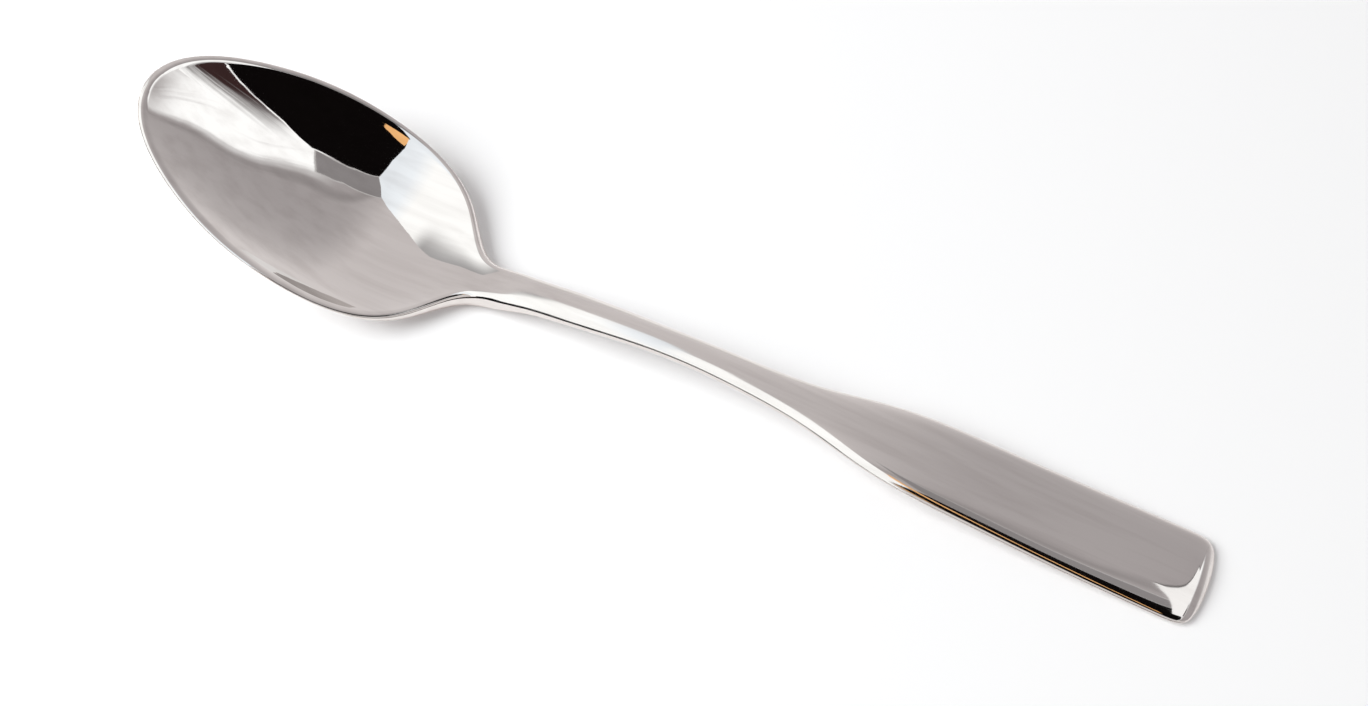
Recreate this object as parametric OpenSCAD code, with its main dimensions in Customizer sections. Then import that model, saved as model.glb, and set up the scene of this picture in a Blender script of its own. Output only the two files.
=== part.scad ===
// Teaspoon with a tilted oval bowl, a slender arched stem and a broad flat handle.
// The real thing is one forging. Its three zones are three solids that meet face to face.
// X runs from the tip of the bowl to the end of the handle, Y across, Z up from the table.
// Every zone is one smooth sheet: a middle surface, with half of the metal above it and
// half below, rounded towards the outline.

/* [Bowl] */
// Length of the bowl, from its tip to the neck
bowl_l = 52; // [46:1:60]
// Greatest width of the bowl
bowl_w = 31.4; // [27:0.2:36]
// Depth of the hollow, measured from the rim to the middle surface
bowl_depth = 5.6; // [4.6:0.1:7.4]
// Radius of the outline round the tip
tip_r = 8.6; // [6:0.1:11]
// Thickness of the metal at the rim
rim_t = 0.9; // [0.7:0.1:1.4]
// Thickness of the metal in the middle of the bowl
floor_t = 1.1; // [0.9:0.1:1.8]
// Width of the rounding along the rim
rim_round = 1; // [0.5:0.1:1.4]
// Height of the rim at the tip
tip_rise = 22.1; // [16:0.1:26]
// Height of the rim at the neck, where it is lowest
neck_rise = 3.8; // [3:0.1:5.5]

/* [Stem] */
// Length of the stem, from the neck to the handle
stem_l = 44; // [36:1:54]
// Width of the neck
neck_w = 6.2; // [5:0.1:7.5]
// Thickness of the neck
neck_t = 2.8; // [2.2:0.1:3.4]
// Width of the stem where it is slimmest
stem_w = 4.4; // [3.8:0.1:6]
// Thickness of the stem where it is slimmest
stem_t = 2; // [1.6:0.1:2.6]
// Width of the rounding along the stem's edges
stem_round = 1.8; // [1.2:0.1:2.4]
// Height of the top of the arch
arch_rise = 7.4; // [5.5:0.1:9]

/* [Handle] */
// Length of the handle, from the stem to the end
handle_l = 59; // [48:1:70]
// Width of the handle
handle_w = 13.3; // [10:0.1:16]
// Thickness of the handle at its edges
handle_t = 1.5; // [1.2:0.1:2.2]
// Width of the rounding along the handle's edges
handle_round = 2.4; // [1.6:0.1:3.2]
// Radius of the shallow arc that ends the handle
end_r = 28; // [16:1:44]
// Height of the handle where it leaves the stem
handle_rise = 6; // [4.5:0.1:7.5]
// Rise of the crowned top above the edges of the stem and handle
crown = 0.5; // [0.2:0.05:0.9]

/* [Hidden] */

steel = [0.78, 0.77, 0.75];

overall_l = bowl_l + stem_l + handle_l;

// A place along the spoon: 0 to 1 is the bowl, 1 to 2 the stem and 2 to 3 the handle.
function place(share) =
    share <= 1 ? share * bowl_l
    : share <= 2 ? bowl_l + (share - 1) * stem_l
    : bowl_l + stem_l + (share - 2) * handle_l;

// Stations of a zone's table, each a place and a share of the size given.
function stations(table_shares, size) = [for (row = table_shares) [place(row[0]), row[1] * size]];

// Half widths of the outline. The tip comes apart, because the outline closes there.
tip_width_share = 1;
bowl_width_shares = [
    [0.16, 0.7], [0.34, 0.935], [0.52, 1], [0.7, 0.915], [0.84, 0.617], [0.93, 0.281]
];
neck_width_shares = [[1.04, 1], [1.13, 0.9]];
stem_width_shares = [[1.28, 1.19], [1.58, 1], [1.86, 1.105]];
handle_width_shares = [
    [2.07, 0.508], [2.19, 0.732], [2.32, 0.894], [2.46, 0.943], [2.65, 0.983], [3, 1.01]
];

// Heights of the rim and of the edge, above the table or above the neck.
bowl_height_shares = [[0, 1], [0.24, 0.703], [0.5, 0.406], [0.76, 0.121], [0.95, 0]];
stem_height_shares = [[1.13, 0.69], [1.37, 0.91], [1.7, 1]];
handle_height_shares = [[2.05, 1], [2.3, 0.758], [2.65, 0.374], [3, 0.12]];

// How far the middle surface lies below its edges, along the middle line. A crown rises above them.
tip_depth_share = 1.2;
bowl_depth_shares = [
    [0.16, 0.5], [0.3, 0.8], [0.45, 0.98], [0.6, 1], [0.75, 0.64], [0.88, 0.21], [1, 0.04]
];
crown_depth_shares = [[1.16, -0.5], [1.5, -0.5], [2.1, -0.5], [3, -0.5]];

// Half thickness at the edge, the extra half thickness along the middle, and the rounding.
rim_thick_shares = [[0, 0.5], [0.5, 0.5], [0.8, 0.8]];
neck_thick_shares = [[1, 0.5], [1.2, 0.4]];
stem_thick_shares = [[1.6, 0.5], [1.85, 0.48]];
handle_thick_shares = [[2.3, 0.5], [3, 0.5]];
middle_thick_shares = [[0, 0.5], [0.5, 0.5], [0.8, 0.5]];
crown_thick_shares = [[1, 0.2], [1.2, 0.5], [2, 0.5], [3, 0.5]];
rim_round_shares = [[0, 0.8], [0.5, 1], [0.8, 0.8]];
stem_round_shares = [[1, 0.5], [1.2, 0.9], [1.7, 1]];
handle_round_shares = [[2.3, 1], [2.7, 1], [3, 1.7]];

// Curvature of the hollow across the bowl: 0 is a parabola, and more is flatter in the middle.
flat_share = 0.1;

// The thickness leans with the bowl's slope up to the first place, and stands upright
// from the second, so that the zones meet on upright faces.
lean_shares = [0.55, 0.97];

// Rings along each zone, and points across the rounding and across the middle.
bowl_rings = 46;
stem_rings = 22;
handle_rings = 34;
round_steps = 4;
middle_steps = 7;

// Natural cubic spline through stations. The two passes give its second derivatives.
function forward_pass(pts, i = 1, rows = [[0, 0]]) =
    i > len(pts) - 2 ? rows
    : let (
        h0 = pts[i].x - pts[i - 1].x,
        h1 = pts[i + 1].x - pts[i].x,
        bend = 6 * ((pts[i + 1].y - pts[i].y) / h1 - (pts[i].y - pts[i - 1].y) / h0),
        pivot = 2 * (h0 + h1) - h0 * rows[i - 1][0],
        row = [h1 / pivot, (bend - h0 * rows[i - 1][1]) / pivot]
    )
    forward_pass(pts, i + 1, concat(rows, [row]));

function backward_pass(rows, i, tail = [0]) =
    i < 1 ? concat([0], tail)
    : backward_pass(rows, i - 1, concat([rows[i][1] - rows[i][0] * tail[0]], tail));

function spline(pts) = [pts, backward_pass(forward_pass(pts), len(pts) - 2)];

// The span of a spline that holds x.
function span(pts, x, i = 0) = i >= len(pts) - 2 || x < pts[i + 1].x ? i : span(pts, x, i + 1);

// Value and slope of a spline at x.
function value_and_slope(curve, x) =
    let (
        i = span(curve[0], x),
        p = curve[0][i],
        q = curve[0][i + 1],
        bend_p = curve[1][i],
        bend_q = curve[1][i + 1],
        h = q.x - p.x,
        b = (x - p.x) / h,
        a = 1 - b
    )
    [
        a * p.y + b * q.y + ((pow(a, 3) - a) * bend_p + (pow(b, 3) - b) * bend_q) * h * h / 6,
        (q.y - p.y) / h + ((3 * b * b - 1) * bend_q - (3 * a * a - 1) * bend_p) * h / 6
    ];

// The outline closes at the tip and at the end over these lengths, which follow from the radii.
tip_half_w = tip_width_share * bowl_w / 2;
tip_close_l = tip_half_w * tip_half_w / (2 * tip_r);
end_close_l = handle_w * handle_w / (8 * end_r);

// Square of the closing factor at x, and its slope.
function closing(x) =
    let (
        tip_gap = exp(-x / tip_close_l),
        end_gap = exp(-(overall_l - x) / end_close_l)
    )
    [
        (1 - tip_gap) * (1 - end_gap),
        tip_gap / tip_close_l * (1 - end_gap) - (1 - tip_gap) * end_gap / end_close_l
    ];

width_curve = spline(concat(
    [[0, tip_half_w]],
    [for (row = stations(bowl_width_shares, bowl_w / 2)) [row.x, row.y / sqrt(closing(row.x)[0])]],
    stations(neck_width_shares, neck_w / 2),
    stations(stem_width_shares, stem_w / 2),
    stations(handle_width_shares, handle_w / 2)
));
height_curve = spline(concat(
    [for (row = stations(bowl_height_shares, tip_rise - neck_rise)) [row.x, row.y + neck_rise]],
    stations(stem_height_shares, arch_rise),
    stations(handle_height_shares, handle_rise)
));
depth_curve = spline(concat(
    [[0, tip_depth_share * bowl_depth]],
    [for (row = stations(bowl_depth_shares, bowl_depth)) [row.x, row.y / closing(row.x)[0]]],
    stations(crown_depth_shares, crown)
));
thick_curve = spline(concat(
    stations(rim_thick_shares, rim_t),
    stations(neck_thick_shares, neck_t),
    stations(stem_thick_shares, stem_t),
    stations(handle_thick_shares, handle_t)
));
extra_curve = spline(concat(
    stations(middle_thick_shares, floor_t - rim_t),
    stations(crown_thick_shares, crown)
));
round_curve = spline(concat(
    stations(rim_round_shares, rim_round),
    stations(stem_round_shares, stem_round),
    stations(handle_round_shares, handle_round)
));

// Everything about the section at x that doesn't change across it.
function section(x) =
    let (
        width = value_and_slope(width_curve, x),
        height = value_and_slope(height_curve, x),
        depth = value_and_slope(depth_curve, x),
        close = closing(x),
        square = width[0] * width[0] * close[0],
        square_slope = 2 * width[0] * width[1] * close[0] + width[0] * width[0] * close[1],
        fade = min(max((place(lean_shares[1]) - x) / (place(lean_shares[1]) - place(lean_shares[0])), 0), 1)
    )
    [
        x, height, depth, width[0], close, square, square_slope,
        value_and_slope(thick_curve, x)[0], value_and_slope(extra_curve, x)[0],
        value_and_slope(round_curve, x)[0], fade * fade * (3 - 2 * fade)
    ];

// Length by which a square of the half width falls across each length towards the outline.
function fall(sec) = sqrt(sec[5] + sec[6] * sec[6] / 4);

// A point of the skin: side is 1 on top and -1 underneath, and v is the place across, from
// 1 at the far outline to -1 at the near one.
function skin(sec, v, side) =
    let (
        t = v * v,
        dish = (1 - t) * (1 + flat_share * t),
        dish_slope = flat_share - 1 - 2 * flat_share * t,
        ratio = sec[2][0] / (sec[3] * sec[3]),
        half_w = sqrt(sec[5]),
        slope_x = sec[1][1] - (sec[2][1] * sec[4][0] + sec[2][0] * sec[4][1]) * dish
            + ratio * sec[6] * t * dish_slope,
        slope_y = -2 * v * half_w * dish_slope * ratio,
        edge_gap = sec[5] * (1 - t) / (2 * fall(sec)),
        open = 1 - min(edge_gap / sec[9], 1),
        half_t = (sec[7] + sec[8] * (1 - t)) * sqrt(1 - open * open),
        lean = sec[10] * slope_x,
        reach = side * half_t * sqrt(1 + slope_x * slope_x + slope_y * slope_y)
            / (1 + lean * lean + slope_y * slope_y)
    )
    [
        sec[0] - lean * reach,
        v * half_w - slope_y * reach,
        sec[1][0] - sec[2][0] * sec[4][0] * dish + reach
    ];

// Places across a section from the far outline to the near one, closer along the rounding.
// The rounding never takes more than this share of the half width.
most_round_share = 0.55;
function half_places(sec) =
    let (
        rounding = [
            for (i = [0:round_steps])
                let (
                    turn = 1 - cos(90 * i / round_steps),
                    inside = 1 - 2 * sec[9] * turn * fall(sec) / sec[5]
                )
                max(sqrt(max(inside, 0)), 1 - most_round_share * turn)
        ],
        inner = rounding[round_steps]
    )
    concat(rounding, [for (i = [1:middle_steps]) inner * (1 - i / middle_steps)]);
function places(sec) =
    let (half = half_places(sec))
    concat(half, [for (i = [len(half) - 2:-1:0]) -half[i]]);

// The spoon settles on its heel and on its end: both lowest points go down or up to the table.
// Lowest means nearest to a sloping line, and that line turns until it touches both.
settle_steps = 120;
heel_shares = [0.3, 0.95];
rest_shares = [2.6, 2.995];
function low_points(shares, slope) = [
    for (i = [0:settle_steps])
        let (x = place(shares[0] + (shares[1] - shares[0]) * i / settle_steps))
        [skin(section(x), 0, -1).z - slope * x, x]
];
function lowest(shares, slope) =
    let (points = low_points(shares, slope), heights = [for (p = points) p[0]])
    points[search(min(heights), heights)[0]];
function turned(slope) =
    let (heel = lowest(heel_shares, slope), rest = lowest(rest_shares, slope))
    slope + (rest[0] - heel[0]) / (rest[1] - heel[1]);
settle_slope = turned(turned(0));
settle_drop = lowest(heel_shares, settle_slope)[0];
function settled(p, x) = [p.x - overall_l / 2, p.y, p.z - settle_slope * x - settle_drop];

// One ring of skin points round the section at x: over the top, then back underneath.
function ring(x) =
    let (sec = section(x), across = places(sec), last = len(across) - 1)
    concat(
        [for (v = across) settled(skin(sec, v, 1), x)],
        [for (i = [last - 1:-1:1]) settled(skin(sec, across[i], -1), x)]
    );

across_count = 2 * (round_steps + middle_steps) + 1;
ring_count = 2 * across_count - 2;

// Triangles between ring i and the next one.
function wall(i) = [
    for (k = [0:ring_count - 1])
        let (
            a = i * ring_count + k,
            b = i * ring_count + (k + 1) % ring_count,
            c = b + ring_count,
            d = a + ring_count
        )
        each [[a, d, c], [a, c, b]]
];

// The face that closes ring i, looking along +X when ahead is true.
function cap(i, ahead) = [
    for (k = [0:across_count - 2])
        let (
            start = i * ring_count,
            top_a = start + k,
            top_b = start + k + 1,
            low_a = start + (ring_count - k) % ring_count,
            low_b = start + ring_count - k - 1
        )
        each (
            ahead ? [[top_a, low_a, low_b], [top_a, low_b, top_b]]
            : [[top_a, low_b, low_a], [top_a, top_b, low_b]]
        )
];

// Triangles with three different corners.
function whole(faces) = [for (f = faces) if (f[0] != f[1] && f[1] != f[2] && f[2] != f[0]) f];

// The outline's closing point at the tip or at the end.
function pole(x) = settled([x, 0, value_and_slope(height_curve, x)[0]], x);

// Places of the rings, closer together towards the tip and towards the end.
bowl_places = [for (i = [1:bowl_rings]) bowl_l * (1 - cos(90 * i / bowl_rings))];
stem_places = [for (i = [0:stem_rings]) bowl_l + stem_l * i / stem_rings];
handle_places = [for (i = [0:handle_rings - 1]) overall_l - handle_l * (1 - sin(90 * i / handle_rings))];

module bowl() {
    points = concat([for (x = bowl_places) each ring(x)], [pole(0)]);
    tip = len(points) - 1;
    walls = [for (i = [0:bowl_rings - 2]) each wall(i)];
    fan = [for (k = [0:ring_count - 1]) [tip, k, (k + 1) % ring_count]];
    color(steel) polyhedron(points, concat(fan, walls, whole(cap(bowl_rings - 1, true))));
}

module stem() {
    points = [for (x = stem_places) each ring(x)];
    walls = [for (i = [0:stem_rings - 1]) each wall(i)];
    ends = concat(whole(cap(0, false)), whole(cap(stem_rings, true)));
    color(steel) polyhedron(points, concat(walls, ends));
}

module handle() {
    points = concat([for (x = handle_places) each ring(x)], [pole(overall_l)]);
    end = len(points) - 1;
    last_ring = (handle_rings - 1) * ring_count;
    walls = [for (i = [0:handle_rings - 2]) each wall(i)];
    fan = [for (k = [0:ring_count - 1]) [last_ring + k, end, last_ring + (k + 1) % ring_count]];
    color(steel) polyhedron(points, concat(whole(cap(0, false)), walls, fan));
}

bowl();
stem();
handle();
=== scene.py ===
import math

import bpy
import numpy as np
from mathutils import Matrix, Vector


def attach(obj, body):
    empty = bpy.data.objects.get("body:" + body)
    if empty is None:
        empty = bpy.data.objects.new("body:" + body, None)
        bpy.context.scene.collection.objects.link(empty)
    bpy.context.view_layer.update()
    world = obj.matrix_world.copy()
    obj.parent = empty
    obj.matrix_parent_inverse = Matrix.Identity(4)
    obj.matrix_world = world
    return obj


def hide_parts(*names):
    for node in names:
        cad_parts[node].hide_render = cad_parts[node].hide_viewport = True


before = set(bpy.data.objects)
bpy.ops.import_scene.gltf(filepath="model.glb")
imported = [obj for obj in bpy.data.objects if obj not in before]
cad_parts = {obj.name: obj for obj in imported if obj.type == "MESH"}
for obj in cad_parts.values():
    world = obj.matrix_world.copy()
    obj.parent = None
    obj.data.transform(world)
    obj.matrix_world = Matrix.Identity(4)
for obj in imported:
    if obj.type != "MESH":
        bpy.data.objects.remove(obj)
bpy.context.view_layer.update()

# Teaspoon of one forging, in metres. X runs from the tip of the bowl to the end of the
# handle, Y across, Z up from the table. The sizes and formulas are those of the CAD source,
# on a finer net, so that a polished surface mirrors the studio without facets.

# Bowl
BOWL_L = 0.052
BOWL_W = 0.0314
BOWL_DEPTH = 0.0056
TIP_R = 0.0086
RIM_T = 0.0009
FLOOR_T = 0.0011
RIM_ROUND = 0.001
TIP_RISE = 0.0221
NECK_RISE = 0.0038

# Stem
STEM_L = 0.044
NECK_W = 0.0062
NECK_T = 0.0028
STEM_W = 0.0044
STEM_T = 0.002
STEM_ROUND = 0.0018
ARCH_RISE = 0.0074

# Handle
HANDLE_L = 0.059
HANDLE_W = 0.0133
HANDLE_T = 0.0015
HANDLE_ROUND = 0.0024
END_R = 0.028
HANDLE_RISE = 0.006
CROWN = 0.0005

OVERALL_L = BOWL_L + STEM_L + HANDLE_L
NECK_X = BOWL_L - OVERALL_L / 2
SHOULDER_X = BOWL_L + STEM_L - OVERALL_L / 2

# Places run from 0 at the tip to 1 at the neck, 2 where the handle starts and 3 at its end.
# Each row is a place and a share of the size that the table belongs to.
TIP_WIDTH_SHARE = 1
BOWL_WIDTH_SHARES = ((0.16, 0.7), (0.34, 0.935), (0.52, 1), (0.7, 0.915), (0.84, 0.617), (0.93, 0.281))
NECK_WIDTH_SHARES = ((1.04, 1), (1.13, 0.9))
STEM_WIDTH_SHARES = ((1.28, 1.19), (1.58, 1), (1.86, 1.105))
HANDLE_WIDTH_SHARES = (
    (2.07, 0.508), (2.19, 0.732), (2.32, 0.894), (2.46, 0.943), (2.65, 0.983), (3, 1.01)
)
BOWL_HEIGHT_SHARES = ((0, 1), (0.24, 0.703), (0.5, 0.406), (0.76, 0.121), (0.95, 0))
STEM_HEIGHT_SHARES = ((1.13, 0.69), (1.37, 0.91), (1.7, 1))
HANDLE_HEIGHT_SHARES = ((2.05, 1), (2.3, 0.758), (2.65, 0.374), (3, 0.12))
TIP_DEPTH_SHARE = 1.2
BOWL_DEPTH_SHARES = (
    (0.16, 0.5), (0.3, 0.8), (0.45, 0.98), (0.6, 1), (0.75, 0.64), (0.88, 0.21), (1, 0.04)
)
CROWN_DEPTH_SHARES = ((1.16, -0.5), (1.5, -0.5), (2.1, -0.5), (3, -0.5))
RIM_THICK_SHARES = ((0, 0.5), (0.5, 0.5), (0.8, 0.8))
NECK_THICK_SHARES = ((1, 0.5), (1.2, 0.4))
STEM_THICK_SHARES = ((1.6, 0.5), (1.85, 0.48))
HANDLE_THICK_SHARES = ((2.3, 0.5), (3, 0.5))
MIDDLE_THICK_SHARES = ((0, 0.5), (0.5, 0.5), (0.8, 0.5))
CROWN_THICK_SHARES = ((1, 0.2), (1.2, 0.5), (2, 0.5), (3, 0.5))
RIM_ROUND_SHARES = ((0, 0.8), (0.5, 1), (0.8, 0.8))
STEM_ROUND_SHARES = ((1, 0.5), (1.2, 0.9), (1.7, 1))
HANDLE_ROUND_SHARES = ((2.3, 1), (2.7, 1), (3, 1.7))

# Curvature of the hollow across the bowl: 0 is a parabola, and more is flatter in the middle.
FLAT_SHARE = 0.1
# The thickness leans with the bowl's slope up to the first place, and stands upright from the second.
LEAN_SHARES = (0.55, 0.97)
# The rounding never takes more than this share of the half width.
MOST_ROUND_SHARE = 0.55
# The two lowest points are looked for between these places, in so many steps.
HEEL_SHARES = (0.3, 0.95)
REST_SHARES = (2.6, 2.995)
SETTLE_STEPS = 120

# Rings of the net along each zone, and steps across the rounding and across the middle
BOWL_RINGS = 190
STEM_RINGS = 90
HANDLE_RINGS = 150
ROUND_STEPS = 10
MIDDLE_STEPS = 30


def place(share):
    """Distance from the tip of a place along the spoon."""
    ends = (0, BOWL_L, BOWL_L + STEM_L, OVERALL_L)
    return float(np.interp(share, range(len(ends)), ends))


def stations(shares, size, base=0.0):
    """Distances from the tip, each with its share of the size on top of the base."""
    return [(place(s), value * size + base) for s, value in shares]


class Curve:
    """Natural cubic spline through stations."""

    def __init__(self, rows):
        self.x, self.y = (np.array(column) for column in zip(*rows))
        step = np.diff(self.x)
        count = len(self.x)
        matrix, bend = np.eye(count), np.zeros(count)
        for i in range(1, count - 1):
            matrix[i, i - 1:i + 2] = step[i - 1], 2 * (step[i - 1] + step[i]), step[i]
            rises = np.diff(self.y[i - 1:i + 2]) / step[i - 1:i + 1]
            bend[i] = 6 * (rises[1] - rises[0])
        self.bend = np.linalg.solve(matrix, bend)

    def at(self, x):
        """Value and slope at each x."""
        i = np.clip(np.searchsorted(self.x, x, side="right") - 1, 0, len(self.x) - 2)
        h = self.x[i + 1] - self.x[i]
        b = (x - self.x[i]) / h
        a = 1 - b
        low, high = self.bend[i], self.bend[i + 1]
        value = a * self.y[i] + b * self.y[i + 1] + ((a**3 - a) * low + (b**3 - b) * high) * h * h / 6
        rise = (self.y[i + 1] - self.y[i]) / h
        slope = rise + ((3 * b * b - 1) * high - (3 * a * a - 1) * low) * h / 6
        return value, slope


# The outline closes at the tip and at the end over two lengths, which follow from the radii.
TIP_HALF_W = TIP_WIDTH_SHARE * BOWL_W / 2
TIP_CLOSE_L = TIP_HALF_W**2 / (2 * TIP_R)
END_CLOSE_L = HANDLE_W**2 / (8 * END_R)


def closing(x):
    """Square of the factor that closes the outline at the tip and at the end, and its slope."""
    tip_gap = np.exp(-x / TIP_CLOSE_L)
    end_gap = np.exp(-(OVERALL_L - x) / END_CLOSE_L)
    value = (1 - tip_gap) * (1 - end_gap)
    slope = tip_gap / TIP_CLOSE_L * (1 - end_gap) - (1 - tip_gap) * end_gap / END_CLOSE_L
    return value, slope


WIDTH = Curve(
    [(0, TIP_HALF_W)]
    + [(x, half / math.sqrt(closing(x)[0])) for x, half in stations(BOWL_WIDTH_SHARES, BOWL_W / 2)]
    + stations(NECK_WIDTH_SHARES, NECK_W / 2)
    + stations(STEM_WIDTH_SHARES, STEM_W / 2)
    + stations(HANDLE_WIDTH_SHARES, HANDLE_W / 2)
)
HEIGHT = Curve(
    stations(BOWL_HEIGHT_SHARES, TIP_RISE - NECK_RISE, NECK_RISE)
    + stations(STEM_HEIGHT_SHARES, ARCH_RISE)
    + stations(HANDLE_HEIGHT_SHARES, HANDLE_RISE)
)
DEPTH = Curve(
    [(0, TIP_DEPTH_SHARE * BOWL_DEPTH)]
    + [(x, depth / closing(x)[0]) for x, depth in stations(BOWL_DEPTH_SHARES, BOWL_DEPTH)]
    + stations(CROWN_DEPTH_SHARES, CROWN)
)
THICK = Curve(
    stations(RIM_THICK_SHARES, RIM_T)
    + stations(NECK_THICK_SHARES, NECK_T)
    + stations(STEM_THICK_SHARES, STEM_T)
    + stations(HANDLE_THICK_SHARES, HANDLE_T)
)
EXTRA = Curve(stations(MIDDLE_THICK_SHARES, FLOOR_T - RIM_T) + stations(CROWN_THICK_SHARES, CROWN))
ROUND = Curve(
    stations(RIM_ROUND_SHARES, RIM_ROUND)
    + stations(STEM_ROUND_SHARES, STEM_ROUND)
    + stations(HANDLE_ROUND_SHARES, HANDLE_ROUND)
)


class Section:
    """Everything about the sections at the given x that doesn't change across them."""

    def __init__(self, x):
        self.x = x
        self.width, width_slope = WIDTH.at(x)
        self.height, self.height_slope = HEIGHT.at(x)
        self.depth, self.depth_slope = DEPTH.at(x)
        self.close, self.close_slope = closing(x)
        self.square = self.width**2 * self.close
        self.square_slope = 2 * self.width * width_slope * self.close + self.width**2 * self.close_slope
        self.thick = THICK.at(x)[0]
        self.extra = EXTRA.at(x)[0]
        self.round = ROUND.at(x)[0]
        start, end = (place(share) for share in LEAN_SHARES)
        fade = np.clip((end - x) / (end - start), 0, 1)
        self.fade = fade**2 * (3 - 2 * fade)
        # How fast the square of the half width falls towards the outline
        self.fall = np.sqrt(self.square + self.square_slope**2 / 4)

    def across(self):
        """Places across, one row for each section, from the far outline to the near one."""
        turn = 1 - np.cos(np.linspace(0, math.pi / 2, ROUND_STEPS + 1))
        inside = 1 - 2 * np.outer(self.round * self.fall / self.square, turn)
        rounding = np.maximum(np.sqrt(np.maximum(inside, 0)), 1 - MOST_ROUND_SHARE * turn)
        middle = np.outer(rounding[:, -1], 1 - np.arange(1, MIDDLE_STEPS + 1) / MIDDLE_STEPS)
        half = np.hstack([rounding, middle])
        return np.hstack([half, -half[:, -2::-1]])

    def skin(self, v, side):
        """Points of the skin at the places v across. Side is 1 on top and -1 underneath."""
        column = {name: value[:, None] for name, value in vars(self).items()}
        x, square, depth, close = (column[name] for name in ("x", "square", "depth", "close"))
        t = v * v
        dish = (1 - t) * (1 + FLAT_SHARE * t)
        dish_slope = FLAT_SHARE - 1 - 2 * FLAT_SHARE * t
        ratio = depth / column["width"] ** 2
        half_w = np.sqrt(square)
        slope_x = (
            column["height_slope"]
            - (column["depth_slope"] * close + depth * column["close_slope"]) * dish
            + ratio * column["square_slope"] * t * dish_slope
        )
        slope_y = -2 * v * half_w * dish_slope * ratio
        edge_gap = square * (1 - t) / (2 * column["fall"])
        opening = 1 - np.minimum(edge_gap / column["round"], 1)
        half_t = (column["thick"] + column["extra"] * (1 - t)) * np.sqrt(1 - opening**2)
        lean = column["fade"] * slope_x
        reach = side * half_t * np.sqrt(1 + slope_x**2 + slope_y**2) / (1 + lean**2 + slope_y**2)
        z = column["height"] - depth * close * dish + reach
        return np.stack([x - lean * reach, v * half_w - slope_y * reach, z], axis=-1)


# The spoon settles on its heel and on its end. Lowest means nearest to a sloping line, and the
# line turns until it touches both.
def lowest(shares, slope):
    """Height over a sloping line and x of the point underneath that is lowest, between two places."""
    x = np.linspace(place(shares[0]), place(shares[1]), SETTLE_STEPS + 1)
    z = Section(x).skin(np.zeros((len(x), 1)), -1)[:, 0, 2] - slope * x
    return z.min(), x[z.argmin()]


def turned(slope):
    """Slope of the line through the heel and the end, as the line with the given slope finds them."""
    heel_z, heel_x = lowest(HEEL_SHARES, slope)
    rest_z, rest_x = lowest(REST_SHARES, slope)
    return slope + (rest_z - heel_z) / (rest_x - heel_x)


SETTLE_SLOPE = turned(turned(0))
SETTLE_DROP = lowest(HEEL_SHARES, SETTLE_SLOPE)[0]


def settled(points, x):
    """Points of the sections at x once the spoon stands on its heel and on its end."""
    moved = points.copy()
    moved[..., 0] -= OVERALL_L / 2
    moved[..., 2] -= SETTLE_SLOPE * x + SETTLE_DROP
    return moved


def net():
    """Rings of skin points along the whole spoon, and the two poles that close it."""
    turn = math.pi / 2
    bowl = BOWL_L * (1 - np.cos(turn * np.arange(1, BOWL_RINGS + 1) / BOWL_RINGS))
    stem = BOWL_L + STEM_L * np.arange(1, STEM_RINGS) / STEM_RINGS
    handle = OVERALL_L - HANDLE_L * (1 - np.sin(turn * np.arange(HANDLE_RINGS) / HANDLE_RINGS))
    x = np.concatenate([bowl, stem, handle])
    section = Section(x)
    v = section.across()
    rings = np.concatenate([section.skin(v, 1), section.skin(v, -1)[:, -2:0:-1]], axis=1)
    ends = np.array([0, OVERALL_L])
    poles = np.stack([ends, 0 * ends, HEIGHT.at(ends)[0]], axis=-1)
    return settled(rings, x[:, None]), settled(poles, ends)


def net_normals(rings):
    """Normals at the net's points, from the faces round each, over the joints of the zones too."""
    ahead = np.roll(rings, -1, axis=1)
    face = np.cross(ahead[1:] - rings[:-1], rings[1:] - ahead[:-1])
    face = face + np.roll(face, 1, axis=1)
    total = np.zeros_like(rings)
    total[:-1] += face
    total[1:] += face
    return total / np.linalg.norm(total, axis=-1, keepdims=True)


def end_face(start, around, way):
    """Strips of the flat face on one ring. It faces along X where way is 1, and back where it is -1."""
    strips = []
    for k in range(around // 2):
        corners = (start + k, start + (around - k) % around, start + around - k - 1, start + k + 1)
        # The first and the last strip are triangles, so one corner of theirs comes twice.
        strips.append(tuple(dict.fromkeys(corners))[::-way])
    return strips


def zone(name, rings, normals, tip=None, end=None):
    """One closed piece from some rings of the net, with a pole or a flat face at each end."""
    count, around = rings.shape[:2]
    points = [*rings.reshape(-1, 3)]
    shading = [*normals.reshape(-1, 3)]
    faces, flat = [], []
    for i in range(count - 1):
        for k in range(around):
            a, b = i * around + k, i * around + (k + 1) % around
            faces.append((a, b, b + around, a + around))
    for start, pole, way in ((0, tip, -1), ((count - 1) * around, end, 1)):
        if pole is None:
            flat += [(corners, way) for corners in end_face(start, around, way)]
        else:
            points.append(pole)
            shading.append(np.array([way, 0, 0]))
            for k in range(around):
                fan = (len(points) - 1, start + (k + 1) % around, start + k)
                faces.append(fan[::-way])
    mesh = bpy.data.meshes.new(name)
    mesh.from_pydata([tuple(p) for p in points], [], faces + [corners for corners, _ in flat])
    mesh.polygons.foreach_set("use_smooth", [True] * len(mesh.polygons))
    corner_normals = [tuple(shading[corner]) for face in faces for corner in face]
    corner_normals += [(way, 0, 0) for corners, way in flat for _ in corners]
    mesh.normals_split_custom_set(corner_normals)
    mesh.update()
    piece = bpy.data.objects.new(name, mesh)
    bpy.context.scene.collection.objects.link(piece)
    return piece


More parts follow.
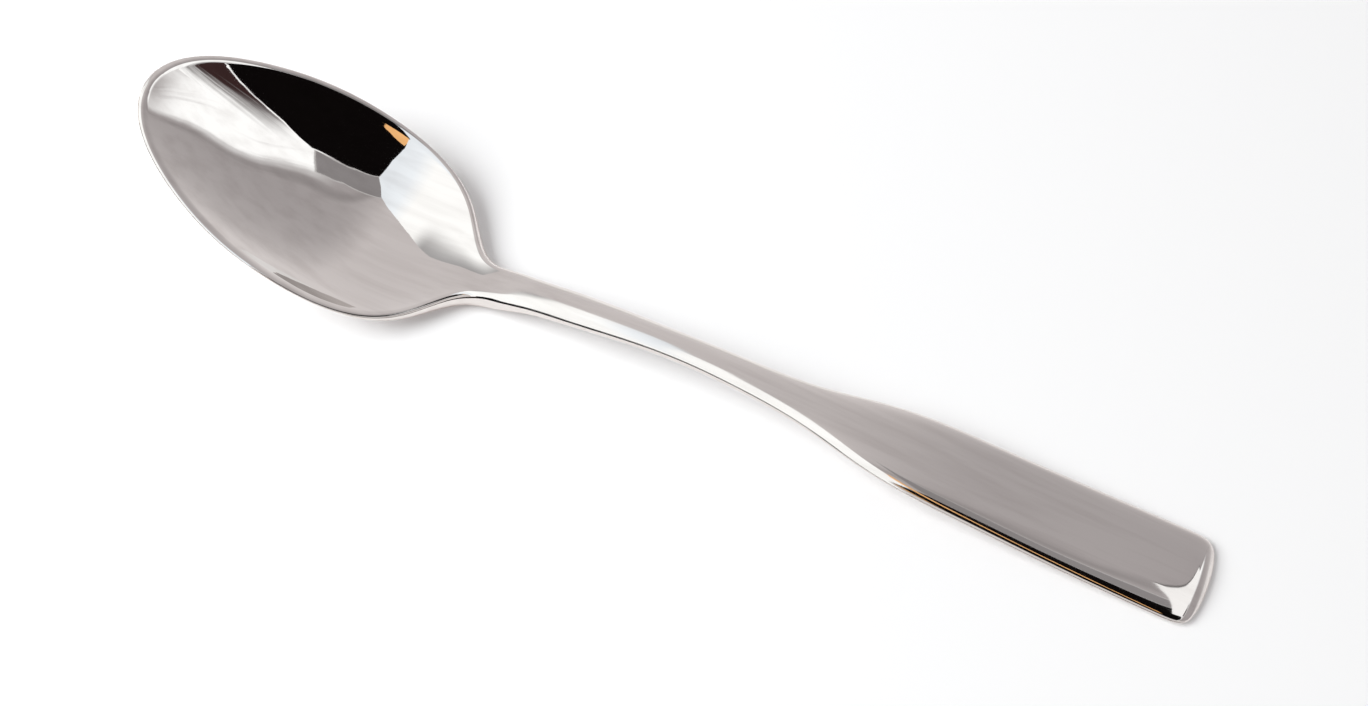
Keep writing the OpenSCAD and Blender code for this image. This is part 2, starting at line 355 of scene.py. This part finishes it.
# Materials
def node_adder(tree):
    """Empties a node tree and gives the call that adds nodes to it."""
    tree.nodes.clear()

    def add(kind, *ordered, **named):
        """Adds a node. Names in small letters are its settings, and all the rest are its inputs."""
        node = tree.nodes.new("ShaderNode" + kind)
        inputs = dict(enumerate(ordered))
        for name, value in named.items():
            if name.islower():
                setattr(node, name, value)
            else:
                inputs[name.replace("_", " ")] = value
        for key, value in inputs.items():
            if isinstance(value, bpy.types.NodeSocket):
                tree.links.new(value, node.inputs[key])
            else:
                node.inputs[key].default_value = value
        return node

    return add


def new_material(name):
    """An empty node material, and the call that adds nodes to it."""
    material = bpy.data.materials.new(name)
    material.use_nodes = True
    return material, node_adder(material.node_tree)


def ramp(add, value, span, ends=(0, 1), kind="SMOOTHSTEP"):
    """Goes from one end to the other while the value crosses the span."""
    node = add("MapRange", interpolation_type=kind, Value=value, From_Min=span[0], From_Max=span[1],
               To_Min=ends[0], To_Max=ends[1])
    return node.outputs["Result"]


def mixed(add, share, first, second):
    """Colour that is the first at share 0 and the second at share 1."""
    return add("MixRGB", share, first, second).outputs["Color"]


def product(add, *factors):
    """All factors multiplied."""
    total = factors[0]
    for factor in factors[1:]:
        total = add("Math", total, factor, operation="MULTIPLY").outputs[0]
    return total


def noise(add, place_at, scale, detail):
    """Noise with its own scale along each axis."""
    scaled = add("Mapping", Vector=place_at, Scale=scale).outputs["Vector"]
    return add("TexNoise", Vector=scaled, Scale=1, Detail=detail).outputs["Fac"]


STEEL_COLOUR = (0.78, 0.77, 0.75, 1)
STEEL_STROKE = (0.7, 0.685, 0.665, 1)
STROKE_SCALE = (18, 620, 620)
STROKE_DETAIL = 4
STROKE_SPAN = (0.42, 0.7)
HAIRLINE_SCALE = (60, 900, 900)
HAIRLINE_DETAIL = 3
HAIRLINE_BUMP = {"Strength": 0.05, "Distance": 0.00002}
WAVE_SCALE = (50, 260, 260)
WAVE_DETAIL = 2
WAVE_BUMP = {"Strength": 0.03, "Distance": 0.0002}
BOWL_ROUGH = 0.02
STEM_ROUGH = 0.14
HANDLE_ROUGH = 0.05
STEM_ROUGH_SPAN = (NECK_X - 0.004, NECK_X + 0.008)
HANDLE_ROUGH_SPAN = (SHOULDER_X - 0.01, SHOULDER_X + 0.02)
WORN_SCALE = (70, 70, 70)
WORN_DETAIL = 3
WORN_SPAN = (0.3, 0.7)
WORN_SHARES = (0.8, 1.3)


def polished_steel():
    """Polished steel with faint strokes, hairlines and waves, duller along the stem."""
    material, add = new_material("polished_steel")
    place_at = add("TexCoord").outputs["Object"]
    place_x = add("SeparateXYZ", Vector=place_at).outputs["X"]
    strokes = ramp(add, noise(add, place_at, STROKE_SCALE, STROKE_DETAIL), STROKE_SPAN, kind="LINEAR")
    tone = mixed(add, strokes, STEEL_COLOUR, STEEL_STROKE)
    to_stem = ramp(add, place_x, STEM_ROUGH_SPAN, (BOWL_ROUGH, STEM_ROUGH))
    to_handle = ramp(add, place_x, HANDLE_ROUGH_SPAN, (0, STEM_ROUGH - HANDLE_ROUGH))
    zone_rough = add("Math", to_stem, to_handle, operation="SUBTRACT").outputs[0]
    worn = ramp(add, noise(add, place_at, WORN_SCALE, WORN_DETAIL), WORN_SPAN, WORN_SHARES, "LINEAR")
    waves = noise(add, place_at, WAVE_SCALE, WAVE_DETAIL)
    hairlines = noise(add, place_at, HAIRLINE_SCALE, HAIRLINE_DETAIL)
    waved = add("Bump", Height=waves, **WAVE_BUMP).outputs["Normal"]
    bump = add("Bump", Height=hairlines, Normal=waved, **HAIRLINE_BUMP).outputs["Normal"]
    rough = product(add, zone_rough, worn)
    shader = add("BsdfPrincipled", Base_Color=tone, Metallic=1, Roughness=rough, Normal=bump)
    add("OutputMaterial", Surface=shader.outputs["BSDF"])
    return material


# Stage
def stage_mesh(name, corners, material):
    """One flat face of the stage."""
    mesh = bpy.data.meshes.new(name)
    mesh.from_pydata(corners, [], [tuple(range(len(corners)))])
    mesh.materials.append(material)
    item = bpy.data.objects.new(name, mesh)
    bpy.context.scene.collection.objects.link(item)
    return item


def oblong(start, end, low, high):
    """Corners of a rectangle."""
    return [(start, low), (end, low), (end, high), (start, high)]


def level(outline, height):
    """Outline laid level at a height."""
    return [(x, y, height) for x, y in outline]


FLOOR_COLOUR = (0.8, 0.8, 0.805, 1)
FLOOR_GLOW = (1, 1, 1, 1)
FLOOR_LIFT_SPAN = (0.3, 1.6)
FLOOR_LIFTS = (0.14, 0.6)
FLOOR_MIRRORED = (0.16, 0.11, 0.1, 1)
FLOOR_HALF = 3


def table_top():
    """Pale table that keeps the shadow. For the camera it is lifted to white, more so far from the
    spoon, and in the steel it is dull."""
    material, add = new_material("table")
    path = add("LightPath").outputs
    seen = add("Math", path["Is Camera Ray"], path["Is Transmission Ray"], operation="MAXIMUM").outputs[0]
    away = add("VectorMath", add("TexCoord").outputs["Object"], operation="LENGTH").outputs["Value"]
    lift = product(add, seen, ramp(add, away, FLOOR_LIFT_SPAN, FLOOR_LIFTS, "LINEAR"))
    diffuse = add("BsdfDiffuse", Color=FLOOR_COLOUR).outputs[0]
    glow = add("Emission", Color=FLOOR_GLOW, Strength=lift).outputs[0]
    mirrored = add("Emission", Color=FLOOR_MIRRORED, Strength=path["Is Glossy Ray"]).outputs[0]
    lifted = add("AddShader", diffuse, glow).outputs[0]
    add("OutputMaterial", Surface=add("AddShader", lifted, mirrored).outputs[0])
    stage_mesh("table", level(oblong(-FLOOR_HALF, FLOOR_HALF, -FLOOR_HALF, FLOOR_HALF), 0), material)


def card(name, corners, material):
    """A studio card that only the steel sees: no camera, diffuse light or shadow meets it."""
    item = stage_mesh("card_" + name, corners, material)
    item.visible_camera = False
    item.visible_diffuse = False
    item.visible_shadow = False


def finish_paper(add, colour, strength=1):
    """Ends a paper material in plain light."""
    glow = add("Emission", Color=colour, Strength=strength)
    add("OutputMaterial", Surface=glow.outputs[0])


def paper(name, colour):
    """Paper of one colour."""
    material, add = new_material("paper_" + name)
    finish_paper(add, (*colour, 1))
    return material


# The roof is grey on the right, lighter on the left and towards the far side, and has one
# white light panel with soft edges, faint folds and a creased grey seam beside it.
ROOF_Z = 0.62
ROOF_HALF = 6
ROOF_GREY = (0.44, 0.405, 0.41, 1)
ROOF_LIGHT = (0.7, 0.65, 0.65, 1)
ROOF_FAR = (0.8, 0.75, 0.75, 1)
ROOF_GREY_SPAN = (-0.1, 0.25)
ROOF_LEFT_SPAN = (-0.5, -2.2)
ROOF_FAR_SPAN = (0.5, 3.6)
PANEL_WHITE = (1.3, 1.3, 1.31, 1)
PANEL_TURN = math.radians(28.5)
PANEL_EDGE = 0.122
PANEL_SOFT = 0.022
PANEL_START_X = 0.224
PANEL_END_X = 0.42
PANEL_END_SOFT = 0.22
FOLD_SCALE = (26, 1.6, 1)
FOLD_DETAIL = 3
FOLD_SPAN = (0.48, 0.72)
FOLD_DEPTH = 0.55
SEAM_GREY = (0.24, 0.22, 0.22, 1)
SEAM_W = 0.035
SEAM_SPAN = (0.4, 0.6)
SEAM_DEPTH = 0.45


def roof_paper():
    """Paper of the roof, with its slow changes of tone, the light panel and the seam."""
    material, add = new_material("paper_roof")
    place_at = add("TexCoord").outputs["Object"]
    axes = add("SeparateXYZ", Vector=place_at).outputs
    near = mixed(add, ramp(add, axes["X"], ROOF_GREY_SPAN), ROOF_LIGHT, ROOF_GREY)
    left = mixed(add, ramp(add, axes["X"], ROOF_LEFT_SPAN, kind="LINEAR"), near, ROOF_FAR)
    plain = mixed(add, ramp(add, axes["Y"], ROOF_FAR_SPAN, kind="LINEAR"), left, ROOF_FAR)
    panel_at = add("Mapping", Vector=place_at, Rotation=(0, 0, PANEL_TURN)).outputs["Vector"]
    across = add("SeparateXYZ", Vector=panel_at).outputs["X"]
    folds = noise(add, panel_at, FOLD_SCALE, FOLD_DETAIL)
    seam = product(
        add,
        ramp(add, across, (PANEL_EDGE - 2 * SEAM_W, PANEL_EDGE - SEAM_W)),
        ramp(add, across, (PANEL_EDGE - SEAM_W, PANEL_EDGE), (1, 0)),
        ramp(add, folds, SEAM_SPAN, (0, SEAM_DEPTH)),
    )
    panel = product(
        add,
        ramp(add, across, (PANEL_EDGE - PANEL_SOFT, PANEL_EDGE + PANEL_SOFT)),
        ramp(add, axes["X"], (PANEL_START_X - PANEL_SOFT, PANEL_START_X)),
        ramp(add, axes["X"], (PANEL_END_X, PANEL_END_X + PANEL_END_SOFT), (1, 0)),
        ramp(add, folds, FOLD_SPAN, (1, 1 - FOLD_DEPTH)),
    )
    seamed = mixed(add, seam, plain, SEAM_GREY)
    finish_paper(add, mixed(add, panel, seamed, PANEL_WHITE))
    return material


# The near screen over the bowl is white on its left and bluish on its right. Its left part
# is dimmed past a slanting line.
SCREEN_Z = 0.12
SCREEN_GLOW = 1.3
SCREEN_STOPS = (
    (-0.16, (1, 1, 1, 1)),
    (-0.065, (1, 1, 1, 1)),
    (-0.048, (0.85, 0.89, 0.94, 1)),
    (-0.03, (0.78, 0.82, 0.87, 1)),
)
SCREEN_DIM = (0.36, 0.35, 0.355, 1)
SCREEN_DIM_SPAN = (-0.085, -0.112)
SCREEN_SLANT = (0.68, 1, 0)
SCREEN_SLANT_SPAN = (-0.056, -0.018)
SCREEN = (
    (-0.032, -0.062), (-0.025, -0.04), (-0.022, -0.026), (-0.019, -0.013), (-0.028, 0.005),
    (-0.042, 0.013), (-0.06, 0.022), (-0.083, 0.036), (-0.102, 0.05), (-0.125, 0.067), (-0.145, 0.077),
    (-0.16, 0.06), (-0.16, -0.3), (-0.06, -0.3),
)


def screen_paper():
    """Paper of the near screen, whose tone follows the stops along X."""
    material, add = new_material("paper_screen")
    place_at = add("TexCoord").outputs["Object"]
    place_x = add("SeparateXYZ", Vector=place_at).outputs["X"]
    start, end = SCREEN_STOPS[0][0], SCREEN_STOPS[-1][0]
    tones = add("ValToRGB", ramp(add, place_x, (start, end), kind="LINEAR"))
    stops = tones.color_ramp.elements
    stops.remove(stops[-1])
    stops[0].color = SCREEN_STOPS[0][1]
    for x, colour in SCREEN_STOPS[1:]:
        stops.new((x - start) / (end - start)).color = colour
    slant = add("VectorMath", place_at, SCREEN_SLANT, operation="DOT_PRODUCT").outputs["Value"]
    dimmed = product(add, ramp(add, slant, SCREEN_SLANT_SPAN), ramp(add, place_x, SCREEN_DIM_SPAN))
    finish_paper(add, mixed(add, dimmed, tones.outputs["Color"], SCREEN_DIM), SCREEN_GLOW)
    return material


# One far card ends in streaks: white takes over at its left end and along its slanting far
# side, and the two borders wander.
STREAK_SCALE = (5, 70, 1)
STREAK_DETAIL = 3
STREAK_WANDER = 0.14
STREAK_SPAN = (0.25, 0.37)
STREAK_SLANT = (-0.32, 1, 0)
STREAK_SLANT_SPAN = (0.03, -0.11)


def streaked_paper(name, colour):
    """Paper of one colour that breaks up into white streaks."""
    material, add = new_material("paper_" + name)
    place_at = add("TexCoord").outputs["Object"]
    streaks = noise(add, place_at, STREAK_SCALE, STREAK_DETAIL)
    wander = ramp(add, streaks, (0, 1), (-STREAK_WANDER / 2, STREAK_WANDER / 2), "LINEAR")
    along = add("SeparateXYZ", Vector=place_at).outputs["X"]
    slant = add("VectorMath", place_at, STREAK_SLANT, operation="DOT_PRODUCT").outputs["Value"]
    covers = [
        ramp(add, add("Math", way, wander, operation="ADD").outputs[0], span)
        for way, span in ((along, STREAK_SPAN), (slant, STREAK_SLANT_SPAN))
    ]
    finish_paper(add, mixed(add, product(add, *covers), PANEL_WHITE, (*colour, 1)))
    return material


# Far cards lie just under the roof, each a step above the one before it in the table. Their
# outlines, and all others, are in metres.
FAR_Z = 0.6
STEP_Z = 0.001
WHITE = (1.3, 1.3, 1.3)
PALE = (0.78, 0.73, 0.72)
DARK = (0.004, 0.003, 0.003)
BROWN = (0.05, 0.025, 0.025)
WARM = (1.1, 0.6, 0.25)
QUAD_GREY = (0.31, 0.29, 0.295)
QUAD_EDGE = (0.6, 0.58, 0.58)
STREAKED_CARD = "brown"
FAR_CARDS = (
    ("warm", WARM, [
        (0.022, -0.432), (0.035, -0.398), (0.072, -0.408), (0.118, -0.43), (0.09, -0.47), (0.02, -0.47)]),
    ("quad", QUAD_GREY, [
        (0.222, 0.011), (0.21, 0.123), (0.19, 0.076), (0.136, 0.045), (0.045, 0.002),
        (0.106, -0.101), (0.173, -0.048), (0.203, -0.004)]),
    ("quad_edge", QUAD_EDGE, [
        (0.225, 0.015), (0.212, 0.132), (0.188, 0.082), (0.134, 0.051), (0.04, 0.004),
        (0.104, -0.107), (0.175, -0.053), (0.205, -0.009)]),
    ("dark", DARK, [
        (0.23, 0.013), (0.259, 0.005), (0.303, -0.014), (0.336, -0.019), (0.356, -0.03),
        (0.378, -0.058), (0.406, -0.097), (0.5, -0.25), (0.45, -0.52), (0, -0.52),
        (0.029, -0.376), (0.065, -0.25), (0.083, -0.174), (0.106, -0.103), (0.173, -0.05)]),
    ("brown", BROWN, [
        (0.23, 0.02), (0.259, 0.012), (0.303, -0.005), (0.336, -0.01), (0.356, -0.02),
        (0.378, -0.047), (0.406, -0.085), (0.52, -0.1), (0.5, 0.19), (0.44, 0.17),
        (0.388, 0.154), (0.337, 0.138), (0.31, 0.129), (0.26, 0.06), (0.23, 0.03)]),
    ("white", WHITE, [
        (0.083, -0.18), (0.04, -0.43), (-0.02, -0.6), (-0.1, -6), (-6, -6), (-6, 1.5),
        (-0.7, 0.25), (-0.45, 0.22), (-0.3, 0), (-0.15, -0.12), (-0.05, -0.12)]),
    ("pale", PALE, [(6, -0.52), (6, -6), (-0.2, -6), (-0.01, -0.52)]),
)

# Low cards, which the handle mirrors along its near edge and at the corner of its end
GOLD_Z = 0.06
GOLD_STRIP = ((0.036, -0.0165), (0.085, -0.034), (0.086, -0.038), (0.035, -0.021))
CORNER_Z = 0.12
CORNER_WHITE = (1.15, 1.13, 1.13)
CORNER_EDGE = (0.16, 0.15, 0.15)
CORNER_CARDS = (
    ("corner", CORNER_WHITE, [
        (0.092, 0.032), (0.097, 0.041), (0.102, 0.05), (0.112, 0.072), (0.12, 0.088),
        (0.15, 0.08), (0.15, -0.03), (0.104, -0.03), (0.1, -0.006), (0.0955, 0.018)]),
    ("corner_edge", CORNER_EDGE, [
        (0.0915, 0.0345), (0.0958, 0.0425), (0.1008, 0.0515), (0.111, 0.0735), (0.12, 0.092),
        (0.15, 0.08), (0.15, -0.03)]),
)

# Upright cards stand on the near side and on the left. A row has the name and the colour, then
# where the card starts and ends along its foot, and the heights of its low and high edge.
SKIRT_Y = -0.5
SKIRT_GREY = (0.05, 0.04, 0.036)
SKIRTS = (
    ("skirt_left", DARK, -1.5, -0.14, 0, 0.24),
    ("skirt", SKIRT_GREY, -0.14, 1.5, 0, 0.14),
)
SIDE_X = -0.5
SIDE_GOLD = (0.4, 0.22, 0.1)
SIDE_CARDS = (
    ("side_dark", DARK, -0.7, -0.16, 0.02, 0.35),
    ("side_gold", SIDE_GOLD, -0.16, 0.04, 0.02, 0.25),
)


def studio():
    """The roof and all cards."""
    card("roof", level(oblong(-ROOF_HALF, ROOF_HALF, -ROOF_HALF, ROOF_HALF), ROOF_Z), roof_paper())
    for i, (name, colour, outline) in enumerate(FAR_CARDS):
        make = streaked_paper if name == STREAKED_CARD else paper
        card(name, level(outline, FAR_Z + i * STEP_Z), make(name, colour))
    card("screen", level(SCREEN, SCREEN_Z), screen_paper())
    card("gold", level(GOLD_STRIP, GOLD_Z), paper("gold", WARM))
    for i, (name, colour, outline) in enumerate(CORNER_CARDS):
        card(name, level(outline, CORNER_Z + i * STEP_Z), paper(name, colour))
    for name, colour, *extent in SKIRTS:
        card(name, [(x, SKIRT_Y, z) for x, z in oblong(*extent)], paper(name, colour))
    for name, colour, *extent in SIDE_CARDS:
        card(name, [(SIDE_X, y, z) for y, z in oblong(*extent)], paper(name, colour))


# Light
LAMP_AT = Vector((-0.6, -0.3, 0.6))
LAMP_SIDE = 0.6
LAMP_POWER = 9.8
LAMP_COLOUR = (0.98, 1, 1)
WORLD_COLOUR = (1, 0.97, 0.97, 1)
WORLD_LEVEL = 0.42
WORLD_MIRRORED = 0.88
WORLD_SEEN = 1


def softbox():
    """Square lamp over the left side, aimed at the frame's origin and unseen in the steel."""
    lamp = bpy.data.lights.new("softbox", "AREA")
    lamp.shape = "SQUARE"
    lamp.size = LAMP_SIDE
    lamp.energy = LAMP_POWER
    lamp.color = LAMP_COLOUR
    item = bpy.data.objects.new("softbox", lamp)
    item.location = LAMP_AT
    item.rotation_euler = (-LAMP_AT).to_track_quat("-Z", "Y").to_euler()
    item.visible_glossy = False
    bpy.context.scene.collection.objects.link(item)


def surroundings():
    """World whose level is higher in the steel, and highest for the camera."""
    world = bpy.data.worlds.new("studio")
    bpy.context.scene.world = world
    world.use_nodes = True
    add = node_adder(world.node_tree)
    path = add("LightPath").outputs
    strength = WORLD_LEVEL
    for ray, shown in (("Is Glossy Ray", WORLD_MIRRORED), ("Is Camera Ray", WORLD_SEEN)):
        more = shown - WORLD_LEVEL
        strength = add("Math", path[ray], more, strength, operation="MULTIPLY_ADD").outputs[0]
    background = add("Background", Color=WORLD_COLOUR, Strength=strength)
    add("OutputWorld", Surface=background.outputs[0])


# Camera at the photograph's viewing angle
FRAME_W = 1368
FOCAL_PX = 1832.3
SENSOR_W = 36
AZIMUTH = math.radians(23.247)
ELEVATION = math.radians(58.894)
ROLL = math.radians(2.151)
DISTANCE = 0.24577
TARGET = Vector((0.080875 - OVERALL_L / 2, 0.000177, 0.005))
CLIP_START = 0.01
CLIP_END = 20


def camera():
    """Camera that frames the spoon as the photograph does."""
    data = bpy.data.cameras.new("camera")
    data.sensor_width = SENSOR_W
    data.lens = FOCAL_PX / FRAME_W * SENSOR_W
    data.clip_start = CLIP_START
    data.clip_end = CLIP_END
    item = bpy.data.objects.new("camera", data)
    back = Vector((
        math.sin(AZIMUTH) * math.cos(ELEVATION),
        -math.cos(AZIMUTH) * math.cos(ELEVATION),
        math.sin(ELEVATION),
    ))
    item.rotation_mode = "QUATERNION"
    turn = (-back).to_track_quat("-Z", "Y").to_matrix() @ Matrix.Rotation(ROLL, 3, "Z")
    item.rotation_quaternion = turn.to_quaternion()
    item.location = TARGET + back * DISTANCE
    bpy.context.scene.collection.objects.link(item)
    bpy.context.scene.camera = item


camera()
rings, poles = net()
normals = net_normals(rings)
steel = polished_steel()
neck, shoulder = BOWL_RINGS - 1, BOWL_RINGS + STEM_RINGS - 1
zones = (
    ("bowl", slice(0, neck + 1), {"tip": poles[0]}),
    ("stem", slice(neck, shoulder + 1), {}),
    ("handle", slice(shoulder, len(rings)), {"end": poles[1]}),
)
for node, span, closed in zones:
    piece = zone("steel_" + node, rings[span], normals[span], **closed)
    piece.data.materials.append(steel)
    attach(piece, "root")
    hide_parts(node)

table_top()
studio()
softbox()
surroundings()
bpy.context.scene.view_settings.view_transform = "Standard"
